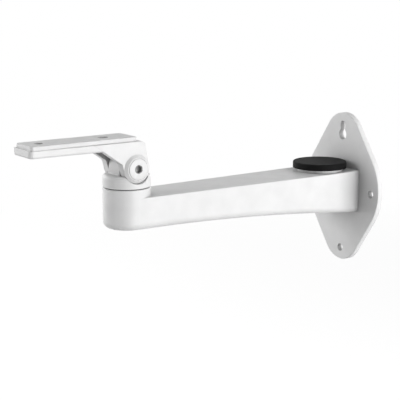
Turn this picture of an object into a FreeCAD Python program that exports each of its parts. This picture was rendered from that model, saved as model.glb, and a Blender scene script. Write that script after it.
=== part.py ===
"""Camera wall bracket: a die-cast arm with a pan swivel and a tilting camera platform.

Millimetres, +Z up. The origin is on the wall face, midway between the two side screw holes.
The arm reaches along -Y, away from the wall. +X is the side of the tilt screw's head.
"""
import FreeCAD, Part
import math
import os

os.makedirs("parts", exist_ok=True)

V = FreeCAD.Vector
X_AXIS = V(1, 0, 0)
Y_AXIS = V(0, 1, 0)
Z_AXIS = V(0, 0, 1)

# Wall plate: a round middle between two smaller round tips
plate_width = 103.0
plate_height = 144.5
plate_thickness = 5.5
plate_tip_radius = 24.5
plate_edge_round = 1.0
plate_centre_rise = 1.5
side_hole_pitch = 82.0
wall_hole_diameter = 7.5
bottom_hole_inset = 11.5
keyhole_diameter = 10.5
keyhole_inset = 20.75
keyhole_slot_width = 6.5
keyhole_slot_rise = 9.6

# Arm: flat on top, curved below, widest at its shoulder near the wall
arm_reach = 250.0
arm_top_height = 21.0
arm_root_height = 41.5
arm_shoulder_width = 52.6
arm_root_inset = 2.0
arm_shoulder_reach = 43.0
arm_tip_height = 28.0
arm_flat_end = 15.0
arm_bottom_round = 6.0
arm_top_round = 1.2
arm_wall = 4.0
arm_core_stop = 12.0
arm_core_taper = 3.5
arm_core_round = 3.0

# Boss at the arm's free end
boss_diameter = 41.5
boss_rise = 7.2
boss_edge_round = 0.6

# Cable outlet on top of the arm, and the rubber cap that closes it
outlet_reach = 34.0
collar_diameter = 44.0
collar_rise = 2.8
collar_edge_round = 0.6
outlet_diameter = 30.0
cap_diameter = 51.2
cap_thickness = 5.9
cap_edge_round = 1.2
cap_skirt_wall = 2.2
cap_skirt_clearance = 0.15
cap_lip_overhang = 0.9
cap_lip_height = 2.2
cap_lip_clearance = 0.3

# Pan swivel: a screw from below clamps the head on the boss, over a thin friction disc
pan_bolt_diameter = 8.0
pan_bolt_length = 35.0
pan_bolt_engagement = 9.0
pan_bolt_head_diameter = 13.0
pan_bolt_head_height = 8.0
pan_socket_size = 6.0
pan_socket_depth = 4.0
pan_bore_clearance = 0.3
pan_thread_clearance = 0.05
pan_thread_runout = 1.5
pan_washer_diameter = 16.0
pan_washer_thickness = 1.6
lock_washer_diameter = 14.8
lock_washer_thickness = 2.0
lock_washer_slit = 1.2
lock_washer_slant = 30.0
pan_counterbore_diameter = 20.0
friction_disc_diameter = 38.5
friction_disc_thickness = 0.8
screw_edge_round = 0.5

# Swivel head: a low drum with a round-topped lug
drum_height = 10.8
drum_edge_round = 3.0
drum_base_round = 0.6
lug_width = 17.4
lug_radius = 12.3
lug_base_round = 1.2
hinge_rise = 6.0
scoop_clearance = 0.6

# Tilt hinge: screw, captive nut and two thin friction washers
tilt_bolt_diameter = 8.0
tilt_bore_clearance = 0.1
tilt_thread_clearance = 0.05
tilt_head_diameter = 18.0
tilt_head_height = 4.0
tilt_head_proud = 0.5
tilt_head_round = 0.4
tilt_head_clearance = 0.25
tilt_socket_size = 6.0
tilt_socket_depth = 4.5
tilt_nut_size = 13.0
tilt_nut_height = 6.5
tilt_nut_clearance = 0.15
tilt_nut_sink = 0.65
tilt_washer_diameter = 19.0
tilt_washer_thickness = 0.7

# Camera platform: a slab on two ears
platform_width = 34.5
platform_front = 98.2
platform_ledge = 0.55
platform_thickness = 6.4
platform_underside_rise = 16.9
platform_rear_lean = 10.0
platform_rear_round = 5.0
platform_corner_radius = 3.5
platform_bottom_round = 2.0
platform_edge_round = 0.5
ear_radius = 12.3
ear_brace_length = 31.5
ear_notch_reach = 14.3
ear_notch_rise = 4.9
ear_notch_round = 3.0
ear_cone_height = 2.3
ear_cone_shrink = 2.3
pocket_wall = 3.5
pocket_depth = 3.3
pocket_length = 60.0
pocket_corner_radius = 3.0

# Seating pad set into the platform's top
pad_width = 28.5
pad_length = 98.8
pad_front_inset = 2.1
pad_thickness = 4.4
pad_sink = 1.0
pad_groove = 0.6
pad_corner_radius = 2.5
pad_edge_round = 0.4
camera_hole_diameter = 7.5
camera_hole_pitch = 60.0
camera_hole_inset = 13.6
camera_slot_travel = 2.0

# Levels and places worked out from the sizes above
arm_root_half = arm_shoulder_width / 2 - arm_root_inset
plate_top = plate_centre_rise + plate_height / 2
plate_bottom = plate_centre_rise - plate_height / 2
boss_radius = boss_diameter / 2
boss_bottom = arm_top_height - arm_tip_height
boss_top = arm_top_height + boss_rise
core_top = arm_top_height - arm_wall
collar_top = arm_top_height + collar_rise
drum_bottom = boss_top + friction_disc_thickness
drum_top = drum_bottom + drum_height
hinge_height = drum_top + hinge_rise
pan_seat = drum_bottom + pan_bolt_engagement - pan_bolt_length
pan_counterbore_top = pan_seat + lock_washer_thickness + pan_washer_thickness
pan_bore_radius = pan_bolt_diameter / 2 + pan_bore_clearance
scoop_radius = ear_radius + scoop_clearance
platform_bottom = hinge_height + platform_underside_rise
platform_top = platform_bottom + platform_thickness
platform_nose = -arm_reach - platform_front
pad_bottom = platform_top - pad_sink
pad_front = platform_nose + pad_front_inset
nose_half = pad_width / 2 + pad_groove + platform_ledge
ear_face = platform_width / 2
ear_end = ear_face + ear_cone_height
fork_half_gap = lug_width / 2 + tilt_washer_thickness
tilt_bore_radius = tilt_bolt_diameter / 2 + tilt_bore_clearance
tilt_head_end = ear_end + tilt_head_proud
tilt_seat = tilt_head_end - tilt_head_height
tilt_nut_end = ear_end - tilt_nut_sink
tilt_nut_seat = tilt_nut_end - tilt_nut_height

# How far a cutting or joining tool runs past the face it meets
past = 3.0
touching = 1e-4


def cylinder(radius, length, base, axis=Z_AXIS):
    """A round bar from its base point along an axis."""
    return Part.makeCylinder(radius, length, base, axis)


def ring(outer, inner, length, base, axis=Z_AXIS):
    """A washer or a sleeve."""
    return cylinder(outer, length, base, axis).cut(cylinder(inner, length, base, axis))


def block(x_low, x_high, y_low, y_high, z_low, z_high):
    """A box between two corners."""
    return Part.makeBox(x_high - x_low, y_high - y_low, z_high - z_low, V(x_low, y_low, z_low))


def hexagon(across_flats, length, base, axis):
    """A hexagonal bar that starts at its base point."""
    radius = across_flats / math.sqrt(3)
    angles = [math.radians(60 * step) for step in range(7)]
    wire = Part.makePolygon([V(radius * math.cos(a), radius * math.sin(a), 0) for a in angles])
    bar = Part.Face(wire).extrude(V(0, 0, length))
    bar.Placement = FreeCAD.Placement(base, FreeCAD.Rotation(Z_AXIS, axis))
    return bar


def outline_face(edges):
    """A face from edges given in any order."""
    return Part.Face(Part.Wire(Part.__sortEdges__(edges)))


def round_edges(shape, radius, chosen):
    """Fillet the edges that the test picks."""
    return shape.makeFillet(radius, [edge for edge in shape.Edges if chosen(edge)])


def lies_flat(edge, height):
    """True for an edge that lies level at one height."""
    box = edge.BoundBox
    return abs(box.ZMin - height) < touching and abs(box.ZMax - height) < touching


def stands_at(edge, place):
    """True for an edge whose ends both lie at one distance along X."""
    box = edge.BoundBox
    return abs(box.XMin - place) < touching and abs(box.XMax - place) < touching


def rounded_plate(width, y_low, y_high, radius, z_low, z_high):
    """A flat rectangle with four round upright corners."""
    slab = block(-width / 2, width / 2, y_low, y_high, z_low, z_high)
    return round_edges(slab, radius, lambda edge: edge.BoundBox.ZLength > (z_high - z_low) / 2)


def plate_outline():
    """The lozenge: a big middle circle joined to two tip circles by tangent lines."""
    middle = plate_width / 2
    tip_offset = plate_height / 2 - plate_tip_radius
    lean = math.asin((middle - plate_tip_radius) / tip_offset)

    def touch(side, end, radius, offset):
        height = end * (offset + radius * math.sin(lean))
        return V(side * radius * math.cos(lean), 0, plate_centre_rise + height)

    edges = []
    for side in (1, -1):
        waist = V(side * middle, 0, plate_centre_rise)
        arc = Part.Arc(touch(side, 1, middle, 0), waist, touch(side, -1, middle, 0))
        edges.append(arc.toShape())
        for end in (1, -1):
            tangent = touch(side, end, plate_tip_radius, tip_offset)
            edges.append(Part.LineSegment(touch(side, end, middle, 0), tangent).toShape())
    for end, tip in ((1, plate_top), (-1, plate_bottom)):
        start = touch(1, end, plate_tip_radius, tip_offset)
        finish = touch(-1, end, plate_tip_radius, tip_offset)
        edges.append(Part.Arc(start, V(0, 0, tip), finish).toShape())
    return outline_face(edges)


def wall_plate():
    """The plate with its front edge rounded."""
    plate = plate_outline().extrude(V(0, -plate_thickness, 0))

    def on_front(edge):
        return edge.BoundBox.YMax < touching - plate_thickness

    return round_edges(plate, plate_edge_round, on_front)


def arm_plan():
    """The arm seen from above: arcs at the root, straight sides and the boss's round end."""
    boss_centre = V(0, -arm_reach, 0)
    shoulder = V(arm_shoulder_width / 2, -arm_shoulder_reach, 0)
    root = V(arm_root_half, -plate_thickness, 0)
    reach = shoulder - boss_centre
    turn = math.atan2(reach.y, reach.x) - math.acos(boss_radius / reach.Length)
    normal = V(math.cos(turn), math.sin(turn), 0)
    touch = boss_centre + normal * boss_radius
    chord = shoulder - root
    root_radius = chord.dot(chord) / (2 * normal.dot(chord))
    root_centre = shoulder - normal * root_radius
    outward = ((shoulder + root) * 0.5 - root_centre).normalize()
    bulge = root_centre + outward * root_radius
    inside = V(0, -plate_thickness / 2, 0)
    inside.x = root_centre.x + math.sqrt(root_radius**2 - (inside.y - root_centre.y) ** 2)

    def mirrored(place):
        return V(-place.x, place.y, 0)

    edges = [Part.LineSegment(inside, mirrored(inside)).toShape()]
    for flip in (V, mirrored):
        edges.append(Part.Arc(flip(inside), flip(bulge), flip(shoulder)).toShape())
        edges.append(Part.LineSegment(flip(shoulder), flip(touch)).toShape())
    tip = V(0, -arm_reach - boss_radius, 0)
    edges.append(Part.Arc(touch, tip, mirrored(touch)).toShape())
    return outline_face(edges)


def arm_profile(y_far, y_near, z_top, rise):
    """The arm seen from the side; its lower edge runs a given rise above the underside arc."""
    flat_y = arm_flat_end - arm_reach
    run = -plate_thickness - flat_y
    drop = arm_root_height - arm_tip_height
    radius = (run * run + drop * drop) / (2 * drop)
    centre_z = boss_bottom - radius

    def under(y):
        bend = max(y - flat_y, 0.0)
        return V(0, y, centre_z + math.sqrt((radius + rise) ** 2 - bend * bend))

    corners = [under(y_near), V(0, y_near, z_top), V(0, y_far, z_top), under(y_far)]
    edges = [Part.LineSegment(start, finish).toShape() for start, finish in zip(corners, corners[1:])]
    arc_start = max(y_far, flat_y)
    if y_far < flat_y:
        edges.append(Part.LineSegment(under(y_far), under(flat_y)).toShape())
    arc_middle = under((arc_start + y_near) / 2)
    edges.append(Part.Arc(under(arc_start), arc_middle, under(y_near)).toShape())
    return outline_face(edges)


def sideways(face, half_width):
    """Thicken a face that lies in the plane X = 0 to both sides."""
    face.translate(V(-half_width, 0, 0))
    return face.extrude(V(2 * half_width, 0, 0))


def arm_beam():
    """The beam and the lower boss in one, with its long edges rounded."""
    depth = arm_root_height + past
    plan = arm_plan()
    plan.translate(V(0, 0, arm_top_height - depth))
    prism = plan.extrude(V(0, 0, depth))
    profile = arm_profile(-arm_reach - boss_radius - past, past, arm_top_height, 0)
    beam = prism.common(sideways(profile, arm_shoulder_width))

    def lower_rim(edge):
        return edge.BoundBox.ZMax < boss_bottom + touching and edge.BoundBox.YLength > touching

    def upper_rim(edge):
        return lies_flat(edge, arm_top_height) and edge.BoundBox.YLength > touching

    beam = round_edges(beam, arm_bottom_round, lower_rim)
    return round_edges(beam, arm_top_round, upper_rim)


def arm_core():
    """The hollow that the cable runs through, open at the wall and drafted to be drawn out."""
    far = boss_radius + arm_core_stop - arm_reach
    wall_half = arm_root_half - arm_wall
    far_half = wall_half - arm_core_taper
    corners = [V(-wall_half, past, 0), V(wall_half, past, 0), V(far_half, far, 0), V(-far_half, far, 0)]
    depth = 2 * arm_root_height
    plan = Part.Face(Part.makePolygon(corners + corners[:1]))
    plan.translate(V(0, 0, -depth / 2))
    profile = arm_profile(far, past, core_top, arm_wall)
    core = plan.extrude(V(0, 0, depth)).common(sideways(profile, arm_shoulder_width))
    return round_edges(core, arm_core_round, lambda edge: edge.BoundBox.YLength > arm_reach / 2)


def keyhole():
    """Round below to pass a screw's head, and a slot above that hangs on its shank."""
    start = V(0, -plate_thickness - past, plate_top - keyhole_inset)
    length = plate_thickness + 2 * past
    end = start + V(0, 0, keyhole_slot_rise)
    half = keyhole_slot_width / 2
    slot = block(-half, half, start.y, start.y + length, start.z, end.z)
    slot = slot.fuse(cylinder(half, length, end, Y_AXIS))
    return slot.fuse(cylinder(keyhole_diameter / 2, length, start, Y_AXIS))


def wall_hole(x, z):
    """A plain screw hole through the plate."""
    base = V(x, -plate_thickness - past, z)
    return cylinder(wall_hole_diameter / 2, plate_thickness + 2 * past, base, Y_AXIS)


def arm_casting():
    """Wall plate, hollow arm, boss and cable collar, cast in one piece."""
    axis = V(0, -arm_reach, 0)
    boss = cylinder(boss_radius, boss_top, axis)
    boss = round_edges(boss, boss_edge_round, lambda edge: lies_flat(edge, boss_top))
    collar_base = V(0, -outlet_reach, arm_top_height - past)
    collar = cylinder(collar_diameter / 2, past + collar_rise, collar_base)
    collar = round_edges(collar, collar_edge_round, lambda edge: lies_flat(edge, collar_top))
    body = arm_beam().fuse([boss, collar, wall_plate()])
    bottom = V(0, -arm_reach, boss_bottom - past)
    cuts = [arm_core(), keyhole(), wall_hole(0, plate_bottom + bottom_hole_inset)]
    cuts.append(wall_hole(side_hole_pitch / 2, 0))
    cuts.append(wall_hole(-side_hole_pitch / 2, 0))
    outlet_base = V(0, -outlet_reach, core_top - past)
    cuts.append(cylinder(outlet_diameter / 2, collar_top + past - outlet_base.z, outlet_base))
    cuts.append(cylinder(pan_counterbore_diameter / 2, pan_counterbore_top - bottom.z, bottom))
    cuts.append(cylinder(pan_bore_radius, boss_top - bottom.z + past, bottom))
    return body.cut(cuts).removeSplitter()


def cable_cap():
    """Rubber cap: a thick disc, and a skirt whose lip snaps under the arm's top wall."""
    disc = cylinder(cap_diameter / 2, cap_thickness, V(0, -outlet_reach, collar_top))
    disc = round_edges(disc, cap_edge_round, lambda edge: lies_flat(edge, collar_top + cap_thickness))
    skirt_radius = outlet_diameter / 2 - cap_skirt_clearance
    lip_top = core_top - cap_lip_clearance
    lip_bottom = lip_top - cap_lip_height
    base = V(0, -outlet_reach, lip_bottom)
    skirt = cylinder(skirt_radius, collar_top + cap_edge_round - lip_bottom, base)
    lip_radius = skirt_radius + cap_lip_overhang
    lip = Part.makeCone(skirt_radius, lip_radius, cap_lip_height, base)
    hollow = cylinder(skirt_radius - cap_skirt_wall, collar_top - lip_bottom, base)
    return disc.fuse([skirt, lip]).cut(hollow).removeSplitter()


def friction_disc():
    """Thin nylon disc that shows as the dark seam between boss and swivel head."""
    base = V(0, -arm_reach, boss_top)
    return ring(friction_disc_diameter / 2, pan_bore_radius, friction_disc_thickness, base)


def swivel_head():
    """Drum and lug in one casting, scooped on both sides for the platform's ears."""
    centre = V(0, -arm_reach, drum_bottom)
    drum = cylinder(boss_radius, drum_height, centre)
    drum = round_edges(drum, drum_edge_round, lambda edge: lies_flat(edge, drum_top))
    drum = round_edges(drum, drum_base_round, lambda edge: lies_flat(edge, drum_bottom))
    half = lug_width / 2
    y_low = -arm_reach - lug_radius
    y_high = -arm_reach + lug_radius
    lug = block(-half, half, y_low, y_high, drum_top - drum_edge_round, hinge_height)
    lug = lug.fuse(cylinder(lug_radius, lug_width, V(-half, -arm_reach, hinge_height), X_AXIS))
    head = drum.fuse(lug).removeSplitter()

    def lug_foot(edge):
        return lies_flat(edge, drum_top) and edge.BoundBox.YLength < touching

    head = round_edges(head, lug_base_round, lug_foot)
    cuts = []
    for start, axis in ((half, X_AXIS), (-half, X_AXIS * -1)):
        cuts.append(cylinder(scoop_radius, boss_radius, V(start, -arm_reach, hinge_height), axis))
    thread_radius = pan_bolt_diameter / 2 + pan_thread_clearance
    cuts.append(cylinder(thread_radius, pan_bolt_engagement + pan_thread_runout, centre))
    cuts.append(cylinder(tilt_bore_radius, lug_width, V(-half, -arm_reach, hinge_height), X_AXIS))
    return head.cut(cuts).removeSplitter()


def pan_bolt():
    """Socket screw that clamps the swivel head from below."""
    seat = V(0, -arm_reach, pan_seat)
    head_base = seat - V(0, 0, pan_bolt_head_height)
    head = cylinder(pan_bolt_head_diameter / 2, pan_bolt_head_height, head_base)
    head = round_edges(head, screw_edge_round, lambda edge: lies_flat(edge, head_base.z))
    shank = cylinder(pan_bolt_diameter / 2, pan_bolt_length, seat)
    tip = pan_seat + pan_bolt_length
    shank = round_edges(shank, screw_edge_round, lambda edge: lies_flat(edge, tip))
    socket = hexagon(pan_socket_size, pan_socket_depth, head_base, Z_AXIS)
    return head.fuse(shank).cut(socket).removeSplitter()


def pan_lock_washer():
    """Split spring washer, drawn pressed flat, with its slanted cut."""
    base = V(0, -arm_reach, pan_seat)
    washer = ring(lock_washer_diameter / 2, pan_bore_radius, lock_washer_thickness, base)
    half = lock_washer_slit / 2
    slit = block(0, lock_washer_diameter, -half, half, -lock_washer_thickness, 2 * lock_washer_thickness)
    slit.rotate(V(0, 0, lock_washer_thickness / 2), X_AXIS, lock_washer_slant)
    slit.translate(base)
    return washer.cut(slit)


def pan_washer():
    """Flat washer under the boss's inner shoulder."""
    base = V(0, -arm_reach, pan_seat + lock_washer_thickness)
    return ring(pan_washer_diameter / 2, pan_bore_radius, pan_washer_thickness, base)


def platform_slab():
    """The flat part of the platform, narrowing a little from the ears to a round-cornered nose."""
    brace = -arm_reach - ear_brace_length
    near_side = [V(nose_half, platform_nose, 0), V(ear_face, brace, 0), V(ear_face, -arm_reach, 0)]
    far_side = [V(-place.x, place.y, 0) for place in reversed(near_side)]
    plan = Part.Face(Part.makePolygon(near_side + far_side + near_side[:1]))
    plan.translate(V(0, 0, platform_bottom))
    slab = plan.extrude(V(0, 0, platform_thickness))

    def nose_corner(edge):
        return edge.BoundBox.YMax < platform_nose + touching and edge.BoundBox.ZLength > touching

    def outer_edge(height):
        return lambda edge: lies_flat(edge, height) and edge.BoundBox.YMin < -arm_reach - touching

    slab = round_edges(slab, platform_corner_radius, nose_corner)
    slab = round_edges(slab, platform_bottom_round, outer_edge(platform_bottom))
    return round_edges(slab, platform_edge_round, outer_edge(platform_top))


def platform_hinge():
    """The platform's hinge end, still solid: slanted brace, round ear and leaning rear."""
    lean = math.radians(platform_rear_lean)
    hinge = V(0, -arm_reach, hinge_height)
    brace_start = V(0, -arm_reach - ear_brace_length, platform_bottom)
    to_notch = V(0, -ear_notch_reach, ear_notch_rise)
    brace_end = hinge + to_notch
    turn = math.atan2(ear_notch_rise, ear_notch_reach) - math.acos(ear_radius / to_notch.Length)
    front = hinge + V(0, -math.cos(turn), math.sin(turn)) * ear_radius
    slope = (brace_start - brace_end) * (platform_thickness / (brace_start.z - brace_end.z))
    brace_top = brace_start + slope
    rear = hinge + V(0, math.cos(lean), math.sin(lean)) * ear_radius
    rear_top = V(0, rear.y - (platform_top - rear.z) * math.tan(lean), platform_top)
    corners = [rear, rear_top, brace_top, brace_end, front]
    edges = [Part.LineSegment(start, finish).toShape() for start, finish in zip(corners, corners[1:])]
    edges.append(Part.Arc(front, hinge - Z_AXIS * ear_radius, rear).toShape())
    blank = sideways(outline_face(edges), ear_face)

    def crosses_at(edge, place):
        box = edge.BoundBox
        return box.XLength > ear_face and box.isInside(V(0, place.y, place.z))

    def on_side(edge):
        return stands_at(edge, ear_face) or stands_at(edge, -ear_face)

    blank = round_edges(blank, platform_rear_round, lambda edge: crosses_at(edge, rear_top))
    blank = round_edges(blank, ear_notch_round, lambda edge: crosses_at(edge, brace_end))
    return round_edges(blank, platform_edge_round, on_side)


def camera_holes(z_low, z_high):
    """Front hole and rear slot for the camera's screws."""
    radius = camera_hole_diameter / 2
    length = z_high - z_low
    front = pad_front + camera_hole_inset
    rear = front + camera_hole_pitch
    holes = [cylinder(radius, length, V(0, front, z_low))]
    half_travel = camera_slot_travel / 2
    slot = block(-radius, radius, rear - half_travel, rear + half_travel, z_low, z_high)
    ends = [cylinder(radius, length, V(0, rear + shift, z_low)) for shift in (-half_travel, half_travel)]
    holes.append(slot.fuse(ends).removeSplitter())
    return holes


def camera_platform():
    """Slab and two ears in one casting, with conical bosses round the hinge."""
    body = platform_slab().fuse(platform_hinge())
    hinge = V(0, -arm_reach, hinge_height)
    cone_end = ear_radius - ear_cone_shrink
    for side in (X_AXIS, X_AXIS * -1):
        base = hinge + side * ear_face
        body = body.fuse(Part.makeCone(ear_radius, cone_end, ear_cone_height, base, side))
    rear = ear_radius + past - arm_reach
    brace = -arm_reach - ear_brace_length
    low = hinge_height - ear_radius - past
    cuts = [block(-fork_half_gap, fork_half_gap, brace - past, rear, low, platform_bottom)]
    pocket_front = platform_nose + pocket_wall
    pocket_width = platform_width - 2 * pocket_wall
    pocket_plan = (pocket_width, pocket_front, pocket_front + pocket_length, pocket_corner_radius)
    cuts.append(rounded_plate(*pocket_plan, platform_bottom, platform_bottom + pocket_depth))
    seat_front = pad_front - pad_groove
    seat_rear = pad_front + pad_length + pad_groove
    seat_plan = (pad_width + 2 * pad_groove, seat_front, seat_rear, pad_corner_radius + pad_groove)
    cuts.append(rounded_plate(*seat_plan, pad_bottom, platform_top))
    cuts.append(cylinder(tilt_bore_radius, 2 * ear_end, hinge - X_AXIS * ear_end, X_AXIS))
    head_bore_radius = tilt_head_diameter / 2 + tilt_head_clearance
    cuts.append(cylinder(head_bore_radius, tilt_head_height, hinge + X_AXIS * tilt_seat, X_AXIS))
    nut_size = tilt_nut_size + 2 * tilt_nut_clearance
    nut_seat = hinge - X_AXIS * tilt_nut_seat
    cuts.append(hexagon(nut_size, tilt_nut_height + past, nut_seat, X_AXIS * -1))
    cuts.extend(camera_holes(platform_bottom - past, platform_top + past))
    return body.cut(cuts).removeSplitter()


def platform_pad():
    """Moulded pad that the camera sits on, in its seat with a fine groove all round."""
    top = pad_bottom + pad_thickness
    pad = rounded_plate(pad_width, pad_front, pad_front + pad_length, pad_corner_radius, pad_bottom, top)
    pad = round_edges(pad, pad_edge_round, lambda edge: lies_flat(edge, top))
    return pad.cut(camera_holes(pad_bottom, top))


def tilt_bolt():
    """Wide flat-headed socket screw through both ears and the lug."""
    seat = V(tilt_seat, -arm_reach, hinge_height)
    head = cylinder(tilt_head_diameter / 2, tilt_head_height, seat, X_AXIS)
    head = round_edges(head, tilt_head_round, lambda edge: stands_at(edge, tilt_head_end))
    shank = cylinder(tilt_bolt_diameter / 2, tilt_seat + tilt_nut_end, seat, X_AXIS * -1)
    shank = round_edges(shank, screw_edge_round, lambda edge: stands_at(edge, -tilt_nut_end))
    face = V(tilt_head_end, -arm_reach, hinge_height)
    socket = hexagon(tilt_socket_size, tilt_socket_depth, face, X_AXIS * -1)
    return head.fuse(shank).cut(socket).removeSplitter()


def tilt_nut():
    """Hexagon nut held in the far ear's pocket."""
    seat = V(-tilt_nut_seat, -arm_reach, hinge_height)
    thread_radius = tilt_bolt_diameter / 2 + tilt_thread_clearance
    nut = hexagon(tilt_nut_size, tilt_nut_height, seat, X_AXIS * -1)
    return nut.cut(cylinder(thread_radius, tilt_nut_height, seat, X_AXIS * -1))


def tilt_friction_washers():
    """Two thin nylon washers between the lug and the ears."""
    washers = []
    for start in (lug_width / 2, -fork_half_gap):
        base = V(start, -arm_reach, hinge_height)
        washers.append(ring(tilt_washer_diameter / 2, tilt_bore_radius, tilt_washer_thickness, base, X_AXIS))
    return Part.makeCompound(washers)


pieces = {
    "arm_casting": arm_casting(),
    "cable_cap": cable_cap(),
    "pan_friction_disc": friction_disc(),
    "swivel_head": swivel_head(),
    "pan_bolt": pan_bolt(),
    "pan_lock_washer": pan_lock_washer(),
    "pan_washer": pan_washer(),
    "camera_platform": camera_platform(),
    "platform_pad": platform_pad(),
    "tilt_bolt": tilt_bolt(),
    "tilt_nut": tilt_nut(),
    "tilt_friction_washers": tilt_friction_washers(),
}

for name, shape in pieces.items():
    shape.exportStep("parts/" + name + ".step")
    print(name, len(shape.Solids), "solid", round(shape.Volume / 1000, 2), "cm3")
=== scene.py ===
# %% [markdown]
# # A cast wall bracket, dressed for its portrait
#
# The bracket holds a security camera off a wall: a lozenge-shaped plate, a long hollow arm, a
# swivel on the arm's end and a small platform that tilts on it. Nearly all of it is white
# powder-coated metal, so this lesson is mostly about making white surfaces read well: fine texture,
# soft light from one side, and edges that catch it.
#
# The bare shapes arrive as a frame that is already at real size, in metres. Nothing in it is moved.

# %% Load the frame and keep its size
import math

import bmesh
import bpy
from mathutils import Matrix, Vector


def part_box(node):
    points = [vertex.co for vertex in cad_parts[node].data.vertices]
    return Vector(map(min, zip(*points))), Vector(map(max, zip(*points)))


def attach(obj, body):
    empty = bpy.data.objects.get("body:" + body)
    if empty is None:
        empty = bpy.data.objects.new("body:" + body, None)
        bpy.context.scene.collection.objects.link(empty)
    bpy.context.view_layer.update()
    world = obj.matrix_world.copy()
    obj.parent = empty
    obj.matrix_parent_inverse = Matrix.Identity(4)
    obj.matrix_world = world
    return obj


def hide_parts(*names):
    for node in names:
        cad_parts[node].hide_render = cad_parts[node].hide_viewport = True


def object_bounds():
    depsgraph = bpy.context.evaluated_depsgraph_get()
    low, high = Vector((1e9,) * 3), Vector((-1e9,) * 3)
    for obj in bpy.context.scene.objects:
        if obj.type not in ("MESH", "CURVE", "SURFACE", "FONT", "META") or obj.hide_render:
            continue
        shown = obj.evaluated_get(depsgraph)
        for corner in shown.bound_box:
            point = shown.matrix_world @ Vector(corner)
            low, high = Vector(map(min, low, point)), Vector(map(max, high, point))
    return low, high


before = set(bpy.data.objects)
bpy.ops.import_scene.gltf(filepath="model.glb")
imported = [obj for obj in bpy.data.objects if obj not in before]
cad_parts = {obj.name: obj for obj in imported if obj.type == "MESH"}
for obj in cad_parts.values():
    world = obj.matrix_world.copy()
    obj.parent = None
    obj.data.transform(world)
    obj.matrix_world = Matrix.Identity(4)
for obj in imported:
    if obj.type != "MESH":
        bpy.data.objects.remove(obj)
frame_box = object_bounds()


def rounded(point):
    """A point's coordinates to a tenth of a millimetre, for printing."""
    return tuple(round(value, 4) for value in point)


print("frame from", rounded(frame_box[0]), "to", rounded(frame_box[1]))

# %% [markdown]
# ## Small helpers
#
# Sizes in this file are written in millimetres, because that is how a drawing gives them, and one
# factor turns them into Blender's metres. Colours are written as the hex value that an image editor
# shows. Blender mixes light, not screen values, so each one is turned to linear first.

# %% Units, colours and one way to add a node
MM = 0.001


def linear(hex_colour):
    """A hex colour as linear red, green, blue and an alpha of 1."""
    channels = [int(hex_colour[i : i + 2], 16) / 255 for i in (1, 3, 5)]
    return [c / 12.92 if c <= 0.04045 else ((c + 0.055) / 1.055) ** 2.4 for c in channels] + [1.0]


def per_metre(size_mm):
    """The texture scale at which a pattern's features are this big."""
    return 1 / (size_mm * MM)


def add(tree, kind, settings=None, **links):
    """Add a node, set its options and sockets, and link other nodes' outputs to it by name."""
    node = tree.nodes.new(kind)
    for key, value in (settings or {}).items():
        if isinstance(key, int) or key in node.inputs:
            node.inputs[key].default_value = value
        else:
            setattr(node, key, value)
    for key, source in links.items():
        tree.links.new(source, node.inputs[key.replace("_", " ")])
    return node


print("one fine-grain texture scale:", round(per_metre(0.35)))

# %% [markdown]
# ## Starting and ending a material
#
# Every finish below is procedural: noise textures on the piece's own object coordinates, so nothing
# slides when the camera moves. These few functions start and end a node tree, mix two colours, and
# stretch a noise, which rarely leaves the middle of its range, over the range that is wanted.

# %% Node tools
def new_material(name):
    """A material with an empty node tree, and its object coordinates."""
    material = bpy.data.materials.new(name)
    material.use_nodes = True
    tree = material.node_tree
    tree.nodes.clear()
    place = add(tree, "ShaderNodeTexCoord").outputs["Object"]
    return material, tree, place


def finish_material(tree, shader):
    """Link a shader to the material's output."""
    output = add(tree, "ShaderNodeOutputMaterial")
    tree.links.new(shader.outputs[0], output.inputs["Surface"])


def blend_colours(tree, amount, first, second):
    """Mix two colours by a value; either may be another node's output."""
    mix = add(tree, "ShaderNodeMix", {"data_type": "RGBA"}, Factor=amount)
    for socket, colour in ((mix.inputs[6], first), (mix.inputs[7], second)):
        if isinstance(colour, bpy.types.NodeSocket):
            tree.links.new(colour, socket)
        else:
            socket.default_value = colour
    return mix.outputs[2]


def spread(tree, value, low, high, wide=(0.35, 0.65)):
    """Stretch a noise value over a range."""
    settings = {"From Min": wide[0], "From Max": wide[1], "To Min": low, "To Max": high}
    return add(tree, "ShaderNodeMapRange", settings, Value=value).outputs["Result"]


def openness(tree, reach_mm):
    """Ambient occlusion for painting shade: 1 on open faces, less in the piece's own corners and holes.
    """
    settings = {"only_local": True, "samples": 8, "Distance": reach_mm * MM}
    return add(tree, "ShaderNodeAmbientOcclusion", settings).outputs["AO"]


print("node tools ready")

# %% [markdown]
# ## White powder coat on die-cast aluminium
#
# The arm, the swivel head and the platform are die castings. Powder is blown on dry and baked, and
# as it flows it leaves a faint orange peel, waves about 1.5 mm apart, with a finer grain on top.
# Both are a few hundredths of a millimetre high: they soften the highlights and show only close by.
# The film is a little thicker in some places than in others, which shifts the white very slightly.
#
# Inside corners and holes are painted a mid grey as shade: an occlusion node finds them from the
# piece's own shape alone and mixes the grey into the white there. That paints shade into the corner
# between arm and plate, the screw holes and the recess under the platform, and the painted grey
# stays where it is when the joints move.

# %% The powder coat
CORNER_REACH = 30


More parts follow.
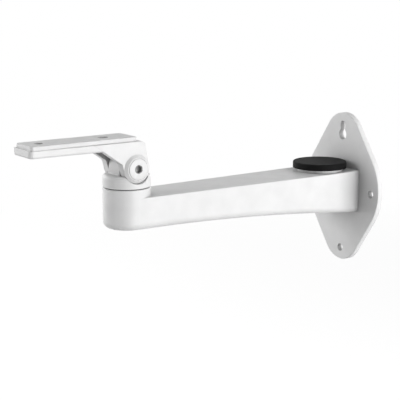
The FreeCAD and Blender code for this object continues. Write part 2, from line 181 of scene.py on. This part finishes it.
def powder_coat(name, colour, thin_colour, corner_shade_colour, roughness, peel_mm=1.5, grain_mm=0.35):
    """Baked polyester powder: orange peel, a fine grain, and painted shade in its recesses."""
    material, tree, place = new_material(name)
    film = add(tree, "ShaderNodeTexNoise", {"Scale": per_metre(18), "Detail": 2.0}, Vector=place)
    peel = add(tree, "ShaderNodeTexNoise", {"Scale": per_metre(peel_mm), "Detail": 1.0}, Vector=place)
    grain = add(tree, "ShaderNodeTexNoise", {"Scale": per_metre(grain_mm), "Detail": 2.0}, Vector=place)
    waves = add(
        tree,
        "ShaderNodeBump",
        {"Strength": 0.5, "Distance": 0.05 * MM},
        Height=peel.outputs["Fac"],
    )
    relief = add(
        tree,
        "ShaderNodeBump",
        {"Strength": 0.35, "Distance": 0.03 * MM},
        Height=grain.outputs["Fac"],
        Normal=waves.outputs["Normal"],
    )
    white = blend_colours(tree, spread(tree, film.outputs["Fac"], 0.0, 1.0), colour, thin_colour)
    # Painted shade: the grey is mixed into the white where the piece's own shape shades it.
    tint = blend_colours(tree, openness(tree, CORNER_REACH), corner_shade_colour, white)
    dull = spread(tree, grain.outputs["Fac"], roughness - 0.04, roughness + 0.05)
    shader = add(
        tree,
        "ShaderNodeBsdfPrincipled",
        {"IOR": 1.5},
        Base_Color=tint,
        Roughness=dull,
        Normal=relief.outputs["Normal"],
    )
    finish_material(tree, shader)
    return material


# A mid grey painted into inside corners and holes as shade.
corner_shade_grey = linear("#8A8A8A")
casting_white = powder_coat("white_powder_coat", linear("#F1F1F1"), linear("#ECECEC"), corner_shade_grey, 0.45)
print("made", casting_white.name)

# %% [markdown]
# ## Rubber, nylon and zinc
#
# The cap over the cable outlet is moulded EPDM rubber: nearly black, dull, with the fine sparkle of
# an eroded mould. The pad that the camera sits on is moulded white nylon, a touch smoother and
# softer than the paint, with a dull grey painted down its two holes as shade. The nut, the pan screw
# and its washers are steel with bright zinc, a real metal, so its colour is in its reflections and
# fine turning marks make it streaky. Inside the sockets the steel is only phosphated: a dull grey
# crystal layer that hides most of the metal's gloss.

# %% The other finishes
HOLE_REACH = 8


def moulded(name, colour, second_colour, hole_shade_colour, roughness, grain_mm, relief_mm, shine=0.5):
    """A moulded rubber or plastic with the grain of its mould, and shade painted down its holes."""
    material, tree, place = new_material(name)
    cloud = add(tree, "ShaderNodeTexNoise", {"Scale": per_metre(9), "Detail": 3.0}, Vector=place)
    grain = add(tree, "ShaderNodeTexNoise", {"Scale": per_metre(grain_mm), "Detail": 3.0}, Vector=place)
    relief = add(
        tree,
        "ShaderNodeBump",
        {"Strength": 0.6, "Distance": relief_mm * MM},
        Height=grain.outputs["Fac"],
    )
    body = blend_colours(tree, spread(tree, cloud.outputs["Fac"], 0.0, 1.0), colour, second_colour)
    # Painted shade: the hole colour is mixed in where the piece's own shape shades it.
    tint = blend_colours(tree, openness(tree, HOLE_REACH), hole_shade_colour, body)
    dull = spread(tree, grain.outputs["Fac"], roughness - 0.05, roughness + 0.05)
    shader = add(
        tree,
        "ShaderNodeBsdfPrincipled",
        {"IOR": 1.5, "Specular IOR Level": shine},
        Base_Color=tint,
        Roughness=dull,
        Normal=relief.outputs["Normal"],
    )
    finish_material(tree, shader)
    return material


def treated_steel(name, colour, dark_colour, roughness, metal=1.0, mark_mm=0.25):
    """Steel under a thin cloudy layer, with fine tool marks."""
    material, tree, place = new_material(name)
    cloud = add(tree, "ShaderNodeTexNoise", {"Scale": per_metre(4), "Detail": 4.0}, Vector=place)
    marks = add(tree, "ShaderNodeTexNoise", {"Scale": per_metre(mark_mm), "Detail": 2.0}, Vector=place)
    relief = add(
        tree,
        "ShaderNodeBump",
        {"Strength": 0.4, "Distance": 0.02 * MM},
        Height=marks.outputs["Fac"],
    )
    tint = blend_colours(tree, spread(tree, cloud.outputs["Fac"], 0.0, 1.0), colour, dark_colour)
    dull = spread(tree, cloud.outputs["Fac"], roughness - 0.06, roughness + 0.08)
    shader = add(
        tree,
        "ShaderNodeBsdfPrincipled",
        {"Metallic": metal},
        Base_Color=tint,
        Roughness=dull,
        Normal=relief.outputs["Normal"],
    )
    finish_material(tree, shader)
    return material


cap_rubber = moulded(
    "black_epdm_rubber",
    colour=linear("#0D0D0D"),
    second_colour=linear("#131313"),
    hole_shade_colour=linear("#070707"),
    roughness=0.65,
    grain_mm=0.5,
    relief_mm=0.05,
    shine=0.08,
)
pad_nylon = moulded(
    "satin_pad_nylon",
    colour=linear("#EFEFEF"),
    second_colour=linear("#E9E9E9"),
    hole_shade_colour=linear("#6E6E6E"),
    roughness=0.5,
    grain_mm=0.6,
    relief_mm=0.03,
)
washer_nylon = moulded(
    "black_nylon_sheet",
    colour=linear("#1F1F1F"),
    second_colour=linear("#282828"),
    hole_shade_colour=linear("#101010"),
    roughness=0.5,
    grain_mm=0.4,
    relief_mm=0.02,
)
screw_white = powder_coat(
    "white_screw_paint",
    colour=linear("#F0F0F0"),
    thin_colour=linear("#ECECEC"),
    corner_shade_colour=corner_shade_grey,
    roughness=0.38,
    peel_mm=1.0,
    grain_mm=0.3,
)
bright_zinc = treated_steel("bright_zinc_plate", linear("#C9CCCE"), linear("#B4B8BB"), 0.3)
socket_steel = treated_steel("phosphated_steel", linear("#A2A2A2"), linear("#949494"), 0.6, metal=0.4)
print("materials:", len(bpy.data.materials))

# %% Give the frame's own pieces their finishes
finishes = {
    "arm_casting": casting_white,
    "swivel_head": casting_white,
    "camera_platform": casting_white,
    "platform_pad": pad_nylon,
    "cable_cap": cap_rubber,
    "pan_friction_disc": washer_nylon,
    "tilt_friction_washers": washer_nylon,
    "pan_lock_washer": bright_zinc,
    "pan_washer": bright_zinc,
    "pan_bolt": bright_zinc,
    "tilt_nut": bright_zinc,
    "tilt_bolt": screw_white,
}
for node, material in finishes.items():
    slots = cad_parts[node].material_slots
    for slot in slots:
        slot.material = material
    print(node, "takes", material.name, "in", len(slots), "slot")

# %% [markdown]
# ## Screws and nut
#
# The frame's screws and nut have the right size but plain ends. Three pieces replace them: the wide
# tilt screw, the nut behind it, and the pan screw in the hollow under the boss. Each is spun round
# the Z axis with its outer face at zero height, and then laid where the frame has it. Every hexagon
# has as many points as a spun circle, so the two join evenly: that gives a socket its round
# lead-in, and a nut the curved chamfer on each corner.

# %% Shapes that turn round an axis
ROUND_STEPS = 96
HEX_STEPS = ROUND_STEPS // 6
SAME_PLACE = 0.001
SHARP_ANGLE = math.radians(28)


def turned(shape, profile):
    """Spin a profile of (radius, height) pairs, in millimetres, round the Z axis."""
    corners = [shape.verts.new((radius * MM, 0, height * MM)) for radius, height in profile]
    edges = [shape.edges.new(pair) for pair in zip(corners, corners[1:])]
    spun = {"cent": (0, 0, 0), "axis": (0, 0, 1), "angle": math.tau, "steps": ROUND_STEPS}
    bmesh.ops.spin(shape, geom=corners + edges, use_merge=True, **spun)
    bmesh.ops.remove_doubles(shape, verts=shape.verts, dist=SAME_PLACE * MM)


def rim_at(shape, radius, height):
    """The open edges round the Z axis at one radius and height, in millimetres."""
    wanted = Vector((radius, height))

    def close(corner):
        return (Vector((corner.co.xy.length, corner.co.z)) / MM - wanted).length < 0.01

    return [e for e in shape.edges if e.is_boundary and close(e.verts[0]) and close(e.verts[1])]


def corners_of(edges):
    """The points that some edges join."""
    return list({corner for edge in edges for corner in edge.verts})


def hexagon_ring(shape, across_flats, height):
    """A hexagon with corners on the X axis and as many points as a spun circle."""
    known = set(shape.edges)
    bmesh.ops.create_circle(shape, segments=6, radius=across_flats / math.sqrt(3) * MM)
    sides = [edge for edge in shape.edges if edge not in known]
    bmesh.ops.subdivide_edges(shape, edges=sides, cuts=HEX_STEPS - 1)
    ring = [edge for edge in shape.edges if edge not in known]
    quarter = Matrix.Rotation(math.pi / 2, 3, "Z")
    bmesh.ops.rotate(shape, verts=corners_of(ring), cent=(0, 0, 0), matrix=quarter)
    bmesh.ops.translate(shape, verts=corners_of(ring), vec=(0, 0, height * MM))
    return ring


def extend(shape, rim, rise, factor=1.0):
    """Extrude an open rim along Z and scale its new edge about the axis."""
    made = bmesh.ops.extrude_edge_only(shape, edges=rim)["geom"]
    corners = [item for item in made if isinstance(item, bmesh.types.BMVert)]
    bmesh.ops.translate(shape, verts=corners, vec=(0, 0, rise * MM))
    bmesh.ops.scale(shape, verts=corners, vec=(factor, factor, 1))
    return [item for item in made if isinstance(item, bmesh.types.BMEdge) and item.is_boundary]


LEAD_IN = 0.35
DRILL_TIP = 1.2
DRILLED_SHARE = 0.8


def sink_socket(shape, across_flats, mouth_radius, depth):
    """A hexagon socket in the face at zero height, with a round lead-in and a drilled floor."""
    known = set(shape.faces)
    ring = hexagon_ring(shape, across_flats, -LEAD_IN)
    bmesh.ops.bridge_loops(shape, edges=rim_at(shape, mouth_radius, 0) + ring)
    floor_rim = extend(shape, ring, LEAD_IN - depth)
    shoulder = extend(shape, floor_rim, 0, DRILLED_SHARE)
    tip = extend(shape, shoulder, -DRILL_TIP, 0)
    bmesh.ops.remove_doubles(shape, verts=corners_of(tip), dist=SAME_PLACE * MM)
    for face in shape.faces:
        if face not in known:
            face.material_index = 1


def lay_along(shape, direction, place):
    """Turn a shape's Z axis to a direction, and move its zero point to a place."""
    turn = Vector((0, 0, 1)).rotation_difference(Vector(direction)).to_matrix()
    bmesh.ops.rotate(shape, verts=shape.verts, cent=(0, 0, 0), matrix=turn)
    bmesh.ops.translate(shape, verts=shape.verts, vec=place)


def piece_from(shape, name, *materials):
    """Turn a finished bmesh into an object at the origin, smooth but for its sharp edges."""
    bmesh.ops.recalc_face_normals(shape, faces=shape.faces)
    for face in shape.faces:
        face.smooth = True
    mesh = bpy.data.meshes.new(name)
    shape.to_mesh(mesh)
    shape.free()
    mesh.set_sharp_from_angle(angle=SHARP_ANGLE)
    for material in materials:
        mesh.materials.append(material)
    piece = bpy.data.objects.new(name, mesh)
    bpy.context.scene.collection.objects.link(piece)
    print(name, "has", len(mesh.polygons), "faces")
    return piece


# %% Tilt screw: a wide painted head whose socket is bare steel
low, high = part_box("tilt_bolt")
head_radius = (high.z - low.z) / 2 / MM
screw_length = (high.x - low.x) / MM
hinge_y = (low.y + high.y) / 2
hinge_z = (low.z + high.z) / 2
SHANK = 4.0
HEAD_HEIGHT = 4.0
EDGE_ROUND = 0.4
TIP_CHAMFER = 0.8
SOCKET = 6.0
MOUTH = 3.75

screw = bmesh.new()
outline = [(MOUTH, 0), (head_radius - EDGE_ROUND, 0), (head_radius - 0.3 * EDGE_ROUND, -0.3 * EDGE_ROUND)]
outline += [(head_radius, -EDGE_ROUND), (head_radius, -HEAD_HEIGHT), (SHANK, -HEAD_HEIGHT)]
outline += [(SHANK, TIP_CHAMFER - screw_length), (SHANK - TIP_CHAMFER, -screw_length), (0, -screw_length)]
turned(screw, outline)
sink_socket(screw, SOCKET, MOUTH, depth=4.5)
lay_along(screw, (1, 0, 0), (high.x, hinge_y, hinge_z))
tilt_screw = piece_from(screw, "tilt_screw_detailed", screw_white, socket_steel)
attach(tilt_screw, "platform")
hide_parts("tilt_bolt")

# %% Tilt nut: chamfered corners and a countersunk bore
low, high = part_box("tilt_nut")
nut_height = (high.x - low.x) / MM
NUT_SIZE = 13.0
BORE = 4.05
COUNTERSINK = 0.4
CHAMFER_SLOPE = math.tan(math.radians(30))

nut = bmesh.new()
turned(nut, [
    (NUT_SIZE / 2, 0),
    (BORE + COUNTERSINK, 0),
    (BORE, -COUNTERSINK),
    (BORE, COUNTERSINK - nut_height),
    (BORE + COUNTERSINK, -nut_height),
    (NUT_SIZE / 2, -nut_height),
])
outer = hexagon_ring(nut, NUT_SIZE, 0)
inner = extend(nut, outer, -nut_height)
for ring, side in ((outer, 1), (inner, -1)):
    for corner in corners_of(ring):
        beyond = corner.co.xy.length - NUT_SIZE / 2 * MM
        corner.co.z -= side * max(beyond, 0) * CHAMFER_SLOPE
bmesh.ops.bridge_loops(nut, edges=rim_at(nut, NUT_SIZE / 2, 0) + outer)
bmesh.ops.bridge_loops(nut, edges=rim_at(nut, NUT_SIZE / 2, -nut_height) + inner)
lay_along(nut, (-1, 0, 0), (low.x, hinge_y, hinge_z))
tilt_nut = piece_from(nut, "tilt_nut_detailed", bright_zinc)
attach(tilt_nut, "platform")
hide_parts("tilt_nut")

# %% Pan screw: a cylinder head with a straight knurl
low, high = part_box("pan_bolt")
pan_head_radius = (high.x - low.x) / 2 / MM
pan_length = (high.z - low.z) / MM
PAN_HEAD_HEIGHT = 8.0
PAN_CHAMFER = 0.7
KNURL_DEPTH = 0.15
KNURL_MARGIN = 1.2
SLACK = 0.1

pan = bmesh.new()
turned(pan, [
    (MOUTH, 0),
    (pan_head_radius - PAN_CHAMFER, 0),
    (pan_head_radius, -PAN_CHAMFER),
    (pan_head_radius, -KNURL_MARGIN),
    (pan_head_radius, KNURL_MARGIN - PAN_HEAD_HEIGHT),
    (pan_head_radius, -PAN_HEAD_HEIGHT),
    (SHANK, -PAN_HEAD_HEIGHT),
    (SHANK, TIP_CHAMFER - pan_length),
    (SHANK - TIP_CHAMFER, -pan_length),
    (0, -pan_length),
])
for corner in pan.verts:
    on_knurl = SLACK - PAN_HEAD_HEIGHT < corner.co.z / MM < SLACK - KNURL_MARGIN
    step = round(math.atan2(corner.co.y, corner.co.x) / math.tau * ROUND_STEPS)
    if on_knurl and step % 2:
        corner.co.xy *= 1 - KNURL_DEPTH / pan_head_radius
sink_socket(pan, SOCKET, MOUTH, depth=4.0)
lay_along(pan, (0, 0, -1), ((low.x + high.x) / 2, (low.y + high.y) / 2, low.z))
pan_screw = piece_from(pan, "pan_screw_detailed", bright_zinc, socket_steel)
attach(pan_screw, "swivel")
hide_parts("pan_bolt")

# %% [markdown]
# ## Stage
#
# The photograph shows the bracket on plain white, with no wall. A wide pale floor lies well below
# it, so its soft shadow falls low. For the camera and for reflections the floor glows a little, and
# wholly white further out, while as a light source it stays an ordinary pale floor. So there is no
# use in sampling it as a lamp, and leaving that out makes the picture less noisy.

# %% Floor and surroundings
FLOOR_DROP = 0.26
FLOOR_RADIUS = 30.0
FLOOR_LIFT = 0.73


def seen_directly(tree):
    """1 for rays from the camera, mirrors and glass, 0 for rays that gather light."""
    path = add(tree, "ShaderNodeLightPath")
    shiny = add(tree, "ShaderNodeMath", {"operation": "MAXIMUM"})
    tree.links.new(path.outputs["Is Glossy Ray"], shiny.inputs[0])
    tree.links.new(path.outputs["Is Transmission Ray"], shiny.inputs[1])
    seen = add(tree, "ShaderNodeMath", {"operation": "MAXIMUM"})
    tree.links.new(path.outputs["Is Camera Ray"], seen.inputs[0])
    tree.links.new(shiny.outputs[0], seen.inputs[1])
    return seen.outputs[0]


def pale_floor():
    """A matt floor that turns into plain white away from the object."""
    material, tree, place = new_material("pale_floor")
    seen = seen_directly(tree)
    paint = add(tree, "ShaderNodeBsdfDiffuse", {"Color": linear("#BEBEBE")})
    lift = add(tree, "ShaderNodeMath", {"operation": "MULTIPLY", 1: FLOOR_LIFT})
    tree.links.new(seen, lift.inputs[0])
    glow = add(tree, "ShaderNodeEmission", Strength=lift.outputs[0])
    near = add(tree, "ShaderNodeAddShader")
    tree.links.new(paint.outputs[0], near.inputs[0])
    tree.links.new(glow.outputs[0], near.inputs[1])
    away = add(tree, "ShaderNodeVectorMath", {"operation": "LENGTH"})
    tree.links.new(place, away.inputs[0])
    far = spread(tree, away.outputs["Value"], 0.0, 1.0, wide=(0.5, 1.6))
    share = add(tree, "ShaderNodeMath", {"operation": "MULTIPLY"})
    tree.links.new(far, share.inputs[0])
    tree.links.new(seen, share.inputs[1])
    white = add(tree, "ShaderNodeEmission", {"Strength": 1.0})
    both = add(tree, "ShaderNodeMixShader")
    tree.links.new(share.outputs[0], both.inputs[0])
    tree.links.new(near.outputs[0], both.inputs[1])
    tree.links.new(white.outputs[0], both.inputs[2])
    finish_material(tree, both)
    material.cycles.emission_sampling = "NONE"
    return material


ground = bmesh.new()
bmesh.ops.create_circle(ground, cap_ends=True, segments=96, radius=FLOOR_RADIUS)
bmesh.ops.translate(ground, vec=(0, 0, frame_box[0].z - FLOOR_DROP), verts=ground.verts)
floor = piece_from(ground, "floor", pale_floor())

AMBIENT = 0.03
world = bpy.data.worlds.new("white_room")
bpy.context.scene.world = world
world.use_nodes = True
air = world.node_tree
air.nodes.clear()
level = add(air, "ShaderNodeMapRange", {"To Min": AMBIENT, "To Max": 1.0}, Value=seen_directly(air))
sky = add(air, "ShaderNodeBackground", {"Color": (1, 1, 1, 1)}, Strength=level.outputs["Result"])
add(air, "ShaderNodeOutputWorld", Surface=sky.outputs[0])
print("floor at", round(frame_box[0].z - FLOOR_DROP, 3), "m")

# %% [markdown]
# ## Light
#
# White paint needs restraint: a face in full light should come out just short of pure white, and
# each other face a clear step darker. In the photograph the arm's near side is the brightest, its
# top is about a quarter darker, and the plate darkens towards the arm. So the key is a very large
# softbox beside the bracket, a little to the wall side, with a small low one in it that draws the
# boss's roundness. A large one across from it, on the camera's left, lifts the plate and the tops,
# and a weak one more to the front gives the boss its light left edge.
#
# Azimuth is counted from straight out of the wall, turning towards the near side.

# %% Softboxes
middle = (frame_box[0] + frame_box[1]) / 2
LAMP_DISTANCE = 1.8


def softbox(name, azimuth, elevation, size, watts):
    """A square area lamp that faces the bracket's middle and isn't seen itself."""
    around = math.radians(azimuth)
    up = math.radians(elevation)
    level = math.cos(up)
    towards = Vector((math.sin(around) * level, -math.cos(around) * level, math.sin(up)))
    lamp = bpy.data.lights.new(name, "AREA")
    lamp.shape = "SQUARE"
    lamp.size = size
    lamp.energy = watts
    holder = bpy.data.objects.new(name, lamp)
    holder.location = middle + towards * LAMP_DISTANCE
    holder.rotation_mode = "QUATERNION"
    holder.rotation_quaternion = towards.to_track_quat("Z", "Y")
    holder.visible_camera = False
    bpy.context.scene.collection.objects.link(holder)


softbox("key_centre", 100, -5, 0.7, 16.5)
softbox("key_wide", 120, 15, 2.6, 34)
softbox("fill_wide", 300, 15, 2.6, 37)
softbox("fill_front", 345, 15, 1.4, 6)
print("lamps:", len(bpy.data.lights))

# %% [markdown]
# ## Camera
#
# The perspective of the plate's holes, the cap's ellipse and the arm's edges gives the camera: it
# stands about 1.2 m from the boss, a little above it, with a long lens.

# %% The photograph's camera
CAMERA_PLACE = Vector((0.8470, -0.7650, 0.2179))
CAMERA_AZIMUTH = math.radians(55.075)
CAMERA_ELEVATION = math.radians(11.51)
LENS_MM = 106.2

eye = bpy.data.cameras.new("camera")
eye.lens = LENS_MM
eye.sensor_width = 36.0
eye.clip_start = 0.01
eye.clip_end = 200.0
camera = bpy.data.objects.new("camera", eye)
camera.location = CAMERA_PLACE
level_part = math.cos(CAMERA_ELEVATION)
look = Vector(
    (
        -math.sin(CAMERA_AZIMUTH) * level_part,
        math.cos(CAMERA_AZIMUTH) * level_part,
        -math.sin(CAMERA_ELEVATION),
    )
)
camera.rotation_mode = "QUATERNION"
camera.rotation_quaternion = look.to_track_quat("-Z", "Y")
bpy.context.scene.collection.objects.link(camera)
bpy.context.scene.camera = camera
bpy.context.scene.view_settings.view_transform = "Standard"
print("camera", round((CAMERA_PLACE - middle).length, 3), "m from the bracket's middle")
